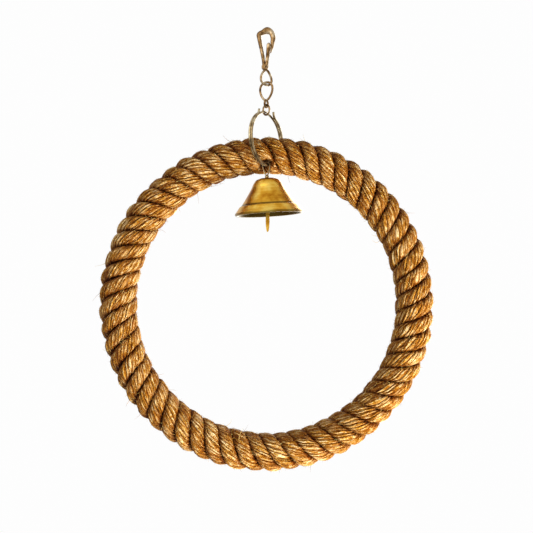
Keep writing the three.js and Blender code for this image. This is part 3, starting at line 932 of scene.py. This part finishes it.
stem_end = -STEM_LENGTH - INNER_EYE[1] / 2
across_loop = turn_about([[0, 1, 0]], "Z", LINK_TURN)[0]
stem_skin = turned_skin([(NEAR_AXIS, hairpin_bottom), (STEM_RADIUS, hairpin_bottom),
                         (STEM_RADIUS, stem_end), (NEAR_AXIS, stem_end)], segments=40)
hanger = melt("bell_hanger_wire", [
    skin(sweep(hanger_loop(), across_loop, HANGER_WIRE / 2, HANGER_WIRE / 2 + LOOP_FLATNESS), closed=True),
    stem_skin,
    bead(BEADS[0], crown_top + BEAD_HEIGHT + FIT_GAP + BEADS[0] * BEAD_SINK),
    bead(BEADS[1], crown_under - FIT_GAP),
    loop(2 * INNER_EYE[0] + INNER_EYE[1], INNER_EYE[1], inner_top, inner_bottom, 0, 90),
], voxel=0.12, smoothing=4)
hanger.data.transform(Matrix.Translation(Vector(bell_origin / 1000))
                      @ Matrix.Rotation(math.radians(-BELL_SWING), 4, "Y"))
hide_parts("bell_hanger")
print(hanger.name, len(hanger.data.polygons), "faces")

# %% [markdown]
# ## Bell
# The bell is pressed from brass sheet and turned: a flat crown, a round shoulder, a long slope, a
# small ridge and a flared lip. One profile, turned round the axis, gives the outside and the inside
# with the wall between them. Towards the lip the wall grows thicker, and its edge is rounded over. A
# solidify modifier would give an even wall and a sharp edge.

# %% Bell shell
CROWN_RADIUS = 5.6
HOLE_GAP = 0.6
BELL_HEIGHT = 27.0
MOUTH_RADIUS = 26.1
LIP_GROWTH = 1.9
LIP_START = 0.8
# The next three values place painted shade on the bell: a dark line just above the ridge and a darker lip.
CREASE = 0.735
CREASE_WIDTH = 0.022
LIP_PAINTED_SHADE = 0.7

outline = through([(CROWN_RADIUS + (MOUTH_RADIUS - CROWN_RADIUS) * out, BELL_HEIGHT * down) for out, down in (
    (0, 0), (0.15, 0.05), (0.255, 0.155), (0.325, 0.26), (0.42, 0.38), (0.54, 0.52), (0.665, 0.66),
    (0.76, 0.755), (0.815, 0.775), (0.9, 0.865), (0.985, 0.945))], steps=90)
slope = unit(np.gradient(outline, axis=0))
to_lip = np.clip((outline[:, 1] / BELL_HEIGHT - LIP_START) / (1 - LIP_START), 0, 1)
thick = BELL_WALL * (1 + LIP_GROWTH * to_lip)
inside_line = np.stack([outline[:, 0] - slope[:, 1] * thick, outline[:, 1] + slope[:, 0] * thick], -1)
inside_line = inside_line[inside_line[:, 1] > BELL_WALL]
lip_turn = np.linspace(0, np.pi, 18)[1:-1, None]
lip_middle = (outline[-1] + inside_line[-1]) / 2
lip_out = (outline[-1] - inside_line[-1]) / 2
lip = lip_middle + (lip_out * np.cos(lip_turn) + slope[-1] * np.linalg.norm(lip_out) * np.sin(lip_turn))
hole = STEM_RADIUS + HOLE_GAP
crown_out = np.linspace(hole, CROWN_RADIUS, 8)[:, None] * [1, 0]
crown_in = np.linspace(inside_line[0, 0], hole, 8)[:, None] * [1, 0] + [0, BELL_WALL]
wall = np.concatenate([crown_out[:-1], outline, lip, inside_line[::-1], crown_in])
wall[:, 1] = crown_top - wall[:, 1]
bell_points, bell_faces = turned_skin(wall, segments=160)
bell = make_piece("brass_bell", on_bell(bell_points), bell_faces)
store(bell.data, "lathe", "FLOAT_VECTOR", "POINT", bell_points / 1000)
# Painted shade, stored for the finish: a dark line just above the ridge, a darker lip and a dark inside.
down = (crown_top - wall[:, 1]) / BELL_HEIGHT
painted_shade = np.exp(-((down - CREASE) / CREASE_WIDTH) ** 2)
outer_count = len(crown_out) - 1 + len(outline)
painted_shade[outer_count:outer_count + len(lip)] = LIP_PAINTED_SHADE
painted_shade[outer_count + len(lip):] = 1.0
store(bell.data, "painted_shade", "FLOAT", "POINT", np.tile(painted_shade, len(bell_points) // len(painted_shade)))
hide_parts("bell_shell")
print(bell.name, len(bell.data.polygons), "faces")

# %% [markdown]
# ## Clapper
# A strip of brass sheet with a hole at its head and a long point, which hangs plumb from the inner
# eye. A flat curve with a hole, extruded and bevelled, gives the cut sheet with its edges broken, and
# needs no boolean.

# %% Clapper
CLAPPER_WIDTH = 3.0
CLAPPER_THICK = 0.9
CLAPPER_EDGE = 0.4
CLAPPER_LENGTH = 34.4
CLAPPER_POINT = 11.0
CLAPPER_HEAD = 2.0

clapper_origin = joint_point("clapper_swing")
clapper_half = CLAPPER_WIDTH / 2
head_turn = np.linspace(0, np.pi, 17)
head_rise = CLAPPER_HEAD - clapper_half
outline_points = [(clapper_half * math.cos(t), head_rise + clapper_half * math.sin(t)) for t in head_turn]
point_side = [(1.0, 0.7), (0.9, 0.45), (0.72, 0.22), (0.48, 0.06), (0.2, 0.01)]
for side, stations in ((-1, point_side), (1, point_side[::-1])):
    outline_points += [(side * clapper_half * out, -CLAPPER_LENGTH + CLAPPER_POINT * up)
                       for out, up in stations]
curve = bpy.data.curves.new("clapper_outline", "CURVE")
curve.dimensions = "2D"
curve.fill_mode = "BOTH"
curve.extrude = (CLAPPER_THICK / 2 - CLAPPER_EDGE) / 1000
curve.bevel_depth = CLAPPER_EDGE / 1000
curve.bevel_resolution = 3
curve.offset = -CLAPPER_EDGE / 1000
hole_turn = np.linspace(2 * np.pi, 0, 20, endpoint=False)
hole_radius = INNER_EYE[1] / 2 + FIT_GAP
hole_points = [(hole_radius * math.cos(t), hole_radius * math.sin(t)) for t in hole_turn]
for ring in (outline_points, hole_points):
    spline = curve.splines.new("POLY")
    spline.points.add(len(ring) - 1)
    for point, (x, y) in zip(spline.points, ring):
        point.co = (x / 1000, y / 1000, 0, 1)
    spline.use_cyclic_u = True
curve_object = bpy.data.objects.new("clapper_curve", curve)
bpy.context.scene.collection.objects.link(curve_object)
graph = bpy.context.evaluated_depsgraph_get()
clapper_mesh = bpy.data.meshes.new_from_object(curve_object.evaluated_get(graph))
bpy.data.objects.remove(curve_object)
clapper_mesh.transform(Matrix.Translation(Vector(clapper_origin / 1000))
                       @ Matrix.Rotation(math.pi / 2, 4, "X"))
clapper = bpy.data.objects.new("brass_clapper", clapper_mesh)
bpy.context.scene.collection.objects.link(clapper)
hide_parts("bell_clapper")
print(clapper.name, len(clapper.data.polygons), "faces")

# %% [markdown]
# ## Materials: one way to add a node
# Every finish below is built from noise and stored places. One small function adds a node, sets it
# and links it, and two more turn a colour or a real size into what the nodes want. Painted textures
# would give the same looks, but noise needs no unwrapping and no picture files.

# %% Material helpers
def linear(colour):
    """Linear RGBA of an sRGB hex colour."""
    parts = [int(colour[i:i + 2], 16) / 255 for i in (1, 3, 5)]
    return [p / 12.92 if p <= 0.04045 else ((p + 0.055) / 1.055) ** 2.4 for p in parts] + [1.0]


def per_metre(size_mm):
    """Noise scale for a pattern of that size."""
    return 1000 / size_mm


def add(tree, kind, inputs=None, stops=(), **settings):
    """A node with its settings. An input is a value, or a socket to link.

    Stops are a colour ramp's places, each with its hex colour.
    """
    made = tree.nodes.new("ShaderNode" + kind)
    for name, value in settings.items():
        setattr(made, name, value)
    for name, value in (inputs or {}).items():
        if isinstance(value, bpy.types.NodeSocket):
            tree.links.new(value, made.inputs[name])
        else:
            made.inputs[name].default_value = value
    for number, (place, colour) in enumerate(stops):
        elements = made.color_ramp.elements
        if number == len(elements):
            elements.new(1.0)
        elements[number].position = place
        elements[number].color = linear(colour)
    return made


def feed(tree, shader, sockets):
    """Links what the nodes give to the shader's sockets."""
    for name, source in sockets.items():
        tree.links.new(source, shader.inputs[name])


def new_material(name, metallic, roughness):
    material = bpy.data.materials.new(name)
    material.use_nodes = True
    shader = material.node_tree.nodes["Principled BSDF"]
    shader.inputs["Metallic"].default_value = metallic
    shader.inputs["Roughness"].default_value = roughness
    return material, material.node_tree, shader


# %% [markdown]
# ## Finish: sisal
# Sisal is leaf fibre, combed and spun, straw-gold with a faint gloss along the fibres. Its colour is
# darkened as painted shade in the valleys between yarns, on the strands' sides towards the grooves
# between them and where they were pushed in for the metal. Each yarn gets streaks that are long along
# it and thin across it, from the places stored on the mesh. The same streaks raise the surface, so
# that the highlights break up. Real fibres are 0.1 to 0.2 mm wide, too fine to show here, so a streak
# is 1 mm wide and stands for a few fibres that lie together.

# %% Sisal yarn
STREAK_WIDTH = 1.0
STREAK_RUN = 5.0
BUNDLE_WIDTH = 3.75
BUNDLE_RUN = 8.0
TANGLE_SIZE = 1.6
PATCH_SIZE = 9.0


def streaks(tree, place, run, width, detail):
    """Noise drawn out along the yarn: `run` mm long and `width` mm wide."""
    scaled = add(tree, "Mapping", {"Vector": place, "Scale": (per_metre(run), per_metre(width), 1.0)})
    return add(tree, "TexNoise", {"Vector": scaled.outputs[0], "Scale": 1.0, "Detail": detail,
                                  "Roughness": 0.6, "Distortion": 0.5}).outputs["Fac"]


def sisal_material():
    material, tree, shader = new_material("sisal_yarn", 0.0, 0.62)
    place = add(tree, "Attribute", attribute_name="yarn").outputs["Vector"]
    height = add(tree, "Attribute", attribute_name="height").outputs["Fac"]
    crown = add(tree, "Attribute", attribute_name="crown").outputs["Fac"]
    spot = add(tree, "TexCoord").outputs["Object"]
    fibre = streaks(tree, place, STREAK_RUN, STREAK_WIDTH, 3.0)
    bundle = streaks(tree, place, BUNDLE_RUN, BUNDLE_WIDTH, 2.0)
    patch = add(tree, "TexNoise", {"Vector": spot, "Scale": per_metre(PATCH_SIZE),
                                   "Detail": 3.0}).outputs["Fac"]
    tangle = add(tree, "TexNoise", {"Vector": spot, "Scale": per_metre(TANGLE_SIZE), "Detail": 4.0,
                                    "Roughness": 0.65, "Distortion": 1.5}).outputs["Fac"]
    mixed = 0.0
    for noise, weight in ((fibre, 0.4), (bundle, 0.2), (patch, 0.15), (tangle, 0.25)):
        mixed = add(tree, "Math", {0: noise, 1: weight, 2: mixed}, operation="MULTIPLY_ADD").outputs[0]
    straw = add(tree, "ValToRGB", {"Fac": mixed}, [
        (0.4, "#401c02"), (0.465, "#8c5206"), (0.52, "#c08c2e"), (0.575, "#f6e4b2")]).outputs[0]
    # Painted shade: the colour darkens towards the valleys between yarns.
    valley = add(tree, "ValToRGB", {"Fac": height}, [
        (0.0, "#54290a"), (0.55, "#bc9050"), (1.0, "#ffffff")]).outputs[0]
    # Painted shade: the colour darkens on the strand's sides towards the grooves between strands and where
    # the strands were pushed in.
    open_side = add(tree, "MapRange", {"Value": crown, "From Min": -0.2, "From Max": 0.95}).outputs[0]
    painted_groove_shade = add(tree, "ValToRGB", {"Fac": open_side}, [
        (0.0, "#361804"), (0.6, "#b0844a"), (1.0, "#ffffff")]).outputs[0]
    shaded = add(tree, "MixRGB", {0: 0.8, 1: straw, 2: valley}, blend_type="MULTIPLY").outputs[0]
    shaded = add(tree, "MixRGB", {0: 0.9, 1: shaded, 2: painted_groove_shade}, blend_type="MULTIPLY").outputs[0]
    raised = add(tree, "Math", {0: tangle, 1: 1.2, 2: fibre}, operation="MULTIPLY_ADD").outputs[0]
    bump = add(tree, "Bump", {"Height": raised, "Strength": 0.8, "Distance": 0.001}).outputs[0]
    rough = add(tree, "MapRange", {"Value": fibre, "To Min": 0.72, "To Max": 0.5}).outputs[0]
    feed(tree, shader, {"Base Color": shaded, "Normal": bump, "Roughness": rough})
    shader.inputs["Specular IOR Level"].default_value = 0.15
    return material


# %% [markdown]
# ## Finish: loose fibres and core
# A loose fibre has one tone from root to tip, from straw to brown, with faint specks. The core is the
# same leaf fibre, paler and without gloss, because it never sees the light. Both are too small or
# too hidden for streaks of their own.

# %% Loose fibres and core yarn
SPECK_SIZE = 1.5
CORE_GRAIN = 0.8


def fibre_material():
    material, tree, shader = new_material("sisal_loose_fibre", 0.0, 0.55)
    tone = add(tree, "Attribute", attribute_name="tone").outputs["Fac"]
    spot = add(tree, "TexCoord").outputs["Object"]
    speck = add(tree, "TexNoise", {"Vector": spot, "Scale": per_metre(SPECK_SIZE),
                                   "Detail": 2.0}).outputs["Fac"]
    mixed = add(tree, "Math", {0: speck, 1: 0.4, 2: tone}, operation="MULTIPLY_ADD").outputs[0]
    colour = add(tree, "ValToRGB", {"Fac": mixed}, [
        (0.15, "#6e4008"), (0.65, "#b88224"), (1.0, "#ecce7c")]).outputs[0]
    feed(tree, shader, {"Base Color": colour})
    shader.inputs["Specular IOR Level"].default_value = 0.2
    return material


def core_material():
    material, tree, shader = new_material("sisal_core_yarn", 0.0, 0.8)
    spot = add(tree, "TexCoord").outputs["Object"]
    grain = add(tree, "TexNoise", {"Vector": spot, "Scale": per_metre(CORE_GRAIN),
                                   "Detail": 3.0}).outputs["Fac"]
    colour = add(tree, "ValToRGB", {"Fac": grain}, [(0.3, "#7a5a30"), (0.7, "#c0a06c")]).outputs[0]
    bump = add(tree, "Bump", {"Height": grain, "Strength": 0.5, "Distance": 0.0004}).outputs[0]
    feed(tree, shader, {"Base Color": colour, "Normal": bump})
    return material


# %% [markdown]
# ## Finish: metals
# Antiqued nickel is plated, darkened and rubbed back: brown stays in patches and the plating shines
# where it was rubbed. Bright nickel has only faint tarnish. The bell is lacquered brass with turning
# marks round its axis, which stretch each highlight. Real marks are too fine to show here, so they
# are drawn 0.35 mm apart. A metal's colour is what it mirrors back, so the ramps below tint the
# reflections, and a noise of a few millimetres dulls them in patches.

# %% Plated finishes
FINE_GRAIN = 0.9


def tarnished_metal(name, stops, spot_size, roughness, bump_height):
    """Metal whose colour and gloss vary in patches of spot_size mm."""
    material, tree, shader = new_material(name, 1.0, roughness[0])
    spot = add(tree, "TexCoord").outputs["Object"]
    patch = add(tree, "TexNoise", {"Vector": spot, "Scale": per_metre(spot_size), "Detail": 2.0,
                                   "Roughness": 0.5}).outputs["Fac"]
    colour = add(tree, "ValToRGB", {"Fac": patch}, stops).outputs[0]
    rough = add(tree, "MapRange", {"Value": patch, "From Min": 0.35, "From Max": 0.65,
                                   "To Min": roughness[1], "To Max": roughness[0]}).outputs[0]
    fine = add(tree, "TexNoise", {"Vector": spot, "Scale": per_metre(FINE_GRAIN),
                                  "Detail": 3.0}).outputs["Fac"]
    bump = add(tree, "Bump", {"Height": fine, "Strength": 0.5, "Distance": bump_height / 1000}).outputs[0]
    feed(tree, shader, {"Base Color": colour, "Roughness": rough, "Normal": bump})
    return material


# %% Lacquered brass
MARK_LENGTH = 25.0
MARK_PITCH = 0.35
BRASS_PATCH = 11.0
# How far the painted shade darkens the brass.
PAINTED_SHADE_COVER = 0.95


def brass_material():
    material, tree, shader = new_material("lacquered_brass", 1.0, 0.3)
    place = add(tree, "Attribute", attribute_name="lathe").outputs["Vector"]
    turned = add(tree, "Mapping", {"Vector": place, "Scale": (
        per_metre(MARK_LENGTH), per_metre(MARK_LENGTH), per_metre(MARK_PITCH))}).outputs[0]
    marks = add(tree, "TexNoise", {"Vector": turned, "Scale": 1.0, "Detail": 4.0}).outputs["Fac"]
    patch = add(tree, "TexNoise", {"Vector": place, "Scale": per_metre(BRASS_PATCH),
                                   "Detail": 4.0}).outputs["Fac"]
    mixed = add(tree, "Math", {0: marks, 1: 0.35, 2: patch}, operation="MULTIPLY_ADD").outputs[0]
    unshaded_brass = add(tree, "ValToRGB", {"Fac": mixed}, [
        (0.45, "#a0660f"), (0.62, "#c8942c"), (0.8, "#debb58")]).outputs[0]
    # Painted shade: the stored mask mixes the brass towards dark brown just above the ridge, on the lip and
    # inside the bell.
    painted_shade = add(tree, "Attribute", attribute_name="painted_shade").outputs["Fac"]
    cover = add(tree, "Math", {0: painted_shade, 1: PAINTED_SHADE_COVER}, operation="MULTIPLY").outputs[0]
    colour = add(tree, "MixRGB", {0: cover, 1: unshaded_brass, 2: linear("#33270e")}).outputs[0]
    rough = add(tree, "MapRange", {"Value": marks, "To Min": 0.26, "To Max": 0.42}).outputs[0]
    bump = add(tree, "Bump", {"Height": marks, "Strength": 0.35, "Distance": 0.00006}).outputs[0]
    feed(tree, shader, {"Base Color": colour, "Roughness": rough, "Normal": bump})
    return material


# %% Make the finishes
sisal = sisal_material()
loose_fibre = fibre_material()
core_yarn = core_material()
antique = tarnished_metal("antiqued_nickel_plate", [(0.3, "#3c240c"), (0.5, "#876944"), (0.7, "#bba98b")],
                          spot_size=4.5, roughness=(0.27, 0.4), bump_height=0.01)
bright = tarnished_metal("bright_nickel_plate", [(0.3, "#4a371e"), (0.5, "#96815d"), (0.7, "#c2b697")],
                         spot_size=5.0, roughness=(0.27, 0.38), bump_height=0.004)
steel = tarnished_metal("drawn_steel_wire", [(0.3, "#77797a"), (0.7, "#a9abac")],
                        spot_size=4.0, roughness=(0.3, 0.45), bump_height=0.01)
brass = brass_material()
print("finishes:", ", ".join(material.name for material in bpy.data.materials))

# %% [markdown]
# ## Bodies and finishes
# Each piece rides the body of the solid that it dresses, so that it moves with it at every joint. The
# loose fibres ride the rope. The clapper is brass like the bell, so it stores the same places.

# %% Give each piece its body and finish
store(clapper.data, "lathe", "FLOAT_VECTOR", "POINT",
      [vertex.co - Vector(clapper_origin / 1000) for vertex in clapper.data.vertices])
PLAN = [
    (hook, "snap", "antique_nickel", antique),
    (gate, "gate", "antique_nickel", antique),
    (upper_link, "first_link", "antique_nickel", antique),
    (lower_link, "second_link", "antique_nickel", antique),
    (split_ring, "perch", "bright_nickel", bright),
    (hanger, "hanger", "bright_nickel", bright),
    (bell, "bell", "bell_brass", brass),
    (clapper, "clapper", "bell_brass", brass),
    (core, "perch", "core_yarn", core_yarn),
    (hoop, "perch", "hoop_steel", steel),
]
PLAN += [(strand, "perch", "sisal", sisal) for strand in strands]
PLAN += [(piece, "perch", "sisal", loose_fibre) for piece in fibres]
for piece, body, slot, material in PLAN:
    piece.data.materials.clear()
    piece.data.materials.append(material)
    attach(piece, body)
print(len(PLAN), "pieces placed")

# %% [markdown]
# ## Light and floor
# Three large soft lamps and a pale world. The key lamp stands low on the right, as the rope's light
# sides say. Metal doesn't mirror it, because that would light up the inside of the bell, which is
# dark in the photograph. The fill lamp stands high on the left and the back lamp lights the far side.
# The floor lies well below the ring. To the camera, and mirrored in metal, floor and world are white,
# and the floor keeps a faint shadow.

# %% Floor
FLOOR_DROP = 760.0
FLOOR_HALF = 900.0
FLOOR_WHITE = 0.96

floor_points = np.array([(-1, -1, 0), (1, -1, 0), (1, 1, 0), (-1, 1, 0)]) * FLOOR_HALF - [0, 0, FLOOR_DROP]
floor = make_piece("floor", floor_points, [[0, 1, 2, 3]], smooth=False)


def background_rays(tree):
    """1 for the rays that show the background: the camera's, mirrored and passed-through ones."""
    rays = add(tree, "LightPath")
    seen = rays.outputs["Is Camera Ray"]
    for kind in ("Is Glossy Ray", "Is Transmission Ray"):
        seen = add(tree, "Math", {0: seen, 1: rays.outputs[kind]}, operation="MAXIMUM").outputs[0]
    return seen


floor_material = bpy.data.materials.new("pale_floor")
floor_material.use_nodes = True
tree = floor_material.node_tree
tree.nodes.clear()
pale = add(tree, "BsdfDiffuse", {"Color": linear("#f4f4f2")}).outputs[0]
white = add(tree, "Emission", {"Color": (1, 1, 1, 1), "Strength": 1.0}).outputs[0]
share = add(tree, "Math", {0: background_rays(tree), 1: FLOOR_WHITE}, operation="MULTIPLY").outputs[0]
mixed = add(tree, "MixShader", {0: share, 1: pale, 2: white}).outputs[0]
add(tree, "OutputMaterial", {"Surface": mixed})
floor.data.materials.append(floor_material)
print(f"floor {FLOOR_DROP:.0f} mm below the chain's top")

# %% World
SEEN_LEVEL = 0.985
WORLD_LEVEL = 0.17

world = bpy.data.worlds.new("studio")
bpy.context.scene.world = world
world.use_nodes = True
tree = world.node_tree
tree.nodes.clear()
level = add(tree, "MapRange", {"Value": background_rays(tree), "To Min": WORLD_LEVEL,
                               "To Max": SEEN_LEVEL}).outputs[0]
studio = add(tree, "Background", {"Color": (1, 1, 1, 1), "Strength": level}).outputs[0]
add(tree, "OutputWorld", {"Surface": studio})
print(f"the world lights the ring at {WORLD_LEVEL} and shows as {SEEN_LEVEL}")

# %% Lamps
def soft_lamp(name, place, size, watts, mirrored=True):
    """A square lamp at `place` in millimetres from the ring's middle, turned towards it."""
    lamp = bpy.data.lights.new(name, "AREA")
    lamp.size = size / 1000
    lamp.energy = watts
    holder = bpy.data.objects.new(name, lamp)
    bpy.context.scene.collection.objects.link(holder)
    holder.location = (ring_middle + Vector(place)) / 1000
    holder.rotation_euler = (-Vector(place)).to_track_quat("-Z", "Y").to_euler()
    holder.visible_camera = False
    holder.visible_glossy = mirrored


soft_lamp("key_lamp", (560, -420, -330), size=520, watts=19.5, mirrored=False)
soft_lamp("fill_lamp", (-380, -640, 420), size=800, watts=4.5)
soft_lamp("back_lamp", (340, 720, 160), size=800, watts=9.0)
print("lamps:", ", ".join(f"{lamp.name} {lamp.energy:.1f} W" for lamp in bpy.data.lights))
bpy.context.scene.view_settings.view_transform = "Standard"
